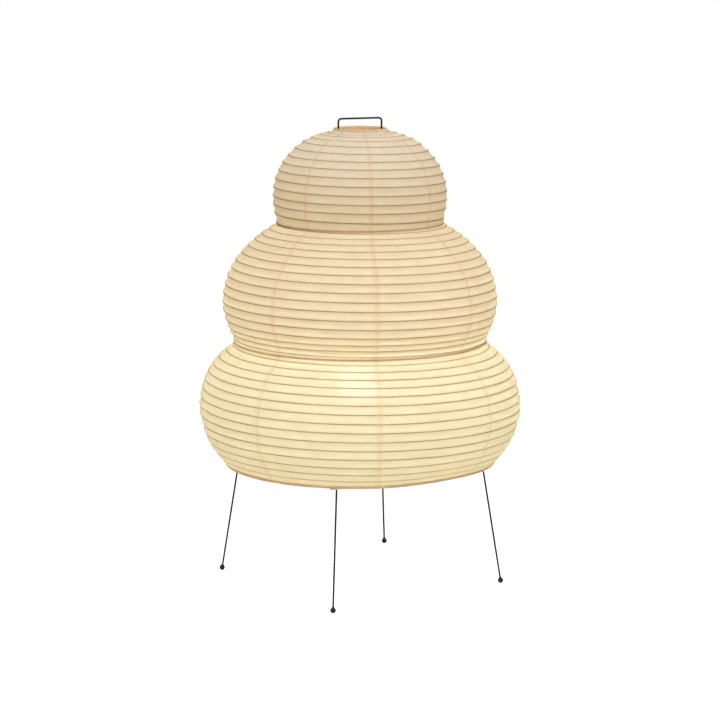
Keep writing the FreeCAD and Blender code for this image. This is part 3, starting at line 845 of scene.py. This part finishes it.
def makeScrewCap(material):
    low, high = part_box("bulb_screw_cap")
    bm = bmesh.new()
    height = high[2] - low[2]
    rows = round((height + 2 * screwCap["pitch"]) / screwCap["pitch"] * screwCap["samples"])
    step = screwCap["pitch"] / screwCap["samples"]
    profile = [(screwCap["radius"], low[2] - screwCap["pitch"] + step * i) for i in range(rows)]
    for i, (r, z) in enumerate(profile):
        wave = 0.5 - 0.5 * math.cos(fullTurn * (i % screwCap["samples"]) / screwCap["samples"])
        profile[i] = (r - screwCap["threadDepth"] * wave, z)
    spinProfile(bm, profile, screwCap["steps"], fullTurn, dropPerTurn=-screwCap["pitch"])
    for edge, side in ((low[2], -1), (high[2], 1)):
        bmesh.ops.bisect_plane(
            bm, geom=bm.verts[:] + bm.edges[:] + bm.faces[:], dist=1e-8,
            plane_co=(0, 0, edge), plane_no=(0, 0, side), clear_outer=True,
        )
    for vert in bm.verts:  # the thread dies out into the plain band under the collar
        reach = math.hypot(vert.co.x, vert.co.y)
        plain = (vert.co.z - high[2] + screwCap["plainTop"]) / screwCap["plainFade"] + 1
        plain = max(0.0, min(1.0, plain))
        grown = (reach * (1 - plain) + screwCap["radius"] * plain) / reach
        vert.co.x *= grown
        vert.co.y *= grown
    outwards(bm, open=True)
    cap = finishPiece("threadedCap", bm, material, "bulb", ["bulb_screw_cap"])
    solidify(cap, screwCap["wall"])


def makeMetal(name, color, roughness, grainScale):
    f = Finish(name, color, roughness, Metallic=1.0)
    where = f.place()
    grain = f.noise(where, grainScale, 3.0, 0.6)
    worn = f.noise(where, 70.0, 3.0)
    darker = tuple(c * 0.72 for c in color)
    f.feed(f.mix(f.spread(worn, 0.35, 0.75), color, darker), "Base Color")
    f.feed(f.spread(grain, 0.25, 0.75, roughness * 0.75, min(1.0, roughness * 1.35)), "Roughness")
    f.bump(grain, 0.0001, 0.3)
    return f


makeScrewCap(makeMetal("bulbCap", (0.72, 0.71, 0.69), 0.3, 900.0).material)
print("screw cap done")


# ---- finishes of the nodes that keep their own shape ----
finishes = {
    "wireBlack": (0.008, 0.0065, 0.0055),
    "plasticBlack": (0.02, 0.02, 0.0205),
    "bulbGlow": (1.0, 0.98, 0.93), "bulbTop": (0.30, 0.29, 0.275),
    "bulbPower": 54.0, "bulbFade": (0.305, 0.350),  # it dims upwards, away from the board of LEDs
}


def makeEnamel(name, color, roughness):
    f = Finish(name, color, roughness, Specular_IOR_Level=0.18)
    where = f.place()
    peel = f.noise(where, 650.0, 2.0)
    worn = f.noise(where, 55.0, 4.0, 0.65)
    f.feed(f.mix(f.spread(worn, 0.6, 0.75, 0.0, 0.6), color, (0.04, 0.032, 0.026)), "Base Color")
    f.feed(f.spread(worn, 0.3, 0.8, roughness * 0.8, roughness * 1.5), "Roughness")
    f.bump(peel, 0.0001, 0.3)
    return f


def makeMoulded(name, color, roughness, lighter, fineness=1200.0):
    f = Finish(name, color, roughness, Specular_IOR_Level=0.45)
    where = f.place()
    spark = f.noise(where, fineness, 2.0)
    cloud = f.noise(where, 60.0, 3.0)
    f.feed(f.mix(f.spread(cloud, 0.35, 0.8, 0.0, 0.6), color, lighter), "Base Color")
    f.feed(f.spread(cloud, 0.3, 0.8, roughness * 0.85, roughness * 1.2), "Roughness")
    f.bump(spark, 0.0001, 0.35)
    return f


def makeBulbGlow():
    f = Finish("opalGlobe", (0.92, 0.91, 0.88), 0.25, Emission_Strength=finishes["bulbPower"])
    where = f.place()
    split = f.add("ShaderNodeSeparateXYZ")
    f.link(where, split.inputs[0])
    fading = f.spread(split.outputs["Z"], *finishes["bulbFade"], smooth=True)
    f.feed(f.mix(fading, finishes["bulbGlow"], finishes["bulbTop"]), "Emission Color")
    cloud = f.noise(where, 30.0, 2.0)
    f.feed(f.mix(f.spread(cloud, 0.3, 0.7), (0.93, 0.92, 0.89), (0.88, 0.87, 0.84)), "Base Color")
    return f


def dressNodes():
    legs = ["leg_" + str(i + 1) for i in range(4)]
    makeEnamel("blackWire", finishes["wireBlack"], 0.32).onNodes("stretcher", *legs)
    makeEnamel("hubEnamel", (0.018, 0.018, 0.019), 0.38).onNodes("hub")
    makeMetal("rimWire", (0.42, 0.37, 0.31), 0.45, 700.0).onNodes("top_rim_ring", "bottom_rim_ring")
    makeMetal("zincSteel", (0.60, 0.61, 0.60), 0.36, 800.0).onNodes(
        "set_screws", "threaded_nipple", "lock_nut",
    )
    makeMetal("contactBrass", (0.78, 0.58, 0.27), 0.3, 900.0).onNodes(
        "terminal_screws", "centre_contact", "side_contact", "thread_shell", "bulb_tip",
    )
    makeMoulded("holderPlastic", finishes["plasticBlack"], 0.5, (0.035, 0.034, 0.033)).onNodes(
        "holder_base", "holder_body", "holder_ring_nut",
    )
    makeMoulded("bushingPlastic", (0.025, 0.025, 0.025), 0.55, (0.04, 0.039, 0.037)).onNodes("cord_bushing")
    makeMoulded("contactCeramic", (0.78, 0.77, 0.72), 0.6, (0.68, 0.66, 0.60), 500.0).onNodes("contact_block")
    makeMoulded("bulbCollar", (0.80, 0.80, 0.78), 0.4, (0.74, 0.74, 0.71)).onNodes("bulb_collar")
    makeMoulded("bulbGlassBlack", (0.02, 0.02, 0.025), 0.2, (0.03, 0.03, 0.035)).onNodes("bulb_insulator")
    makeMoulded("boardWhite", (0.82, 0.82, 0.80), 0.45, (0.75, 0.76, 0.72), 400.0).onNodes("led_board")
    makeMoulded("chipPhosphor", (0.85, 0.62, 0.12), 0.35, (0.92, 0.75, 0.25), 900.0).onNodes("led_chips")
    makeBulbGlow().onNodes("bulb_globe")


dressNodes()
print("finishes done")
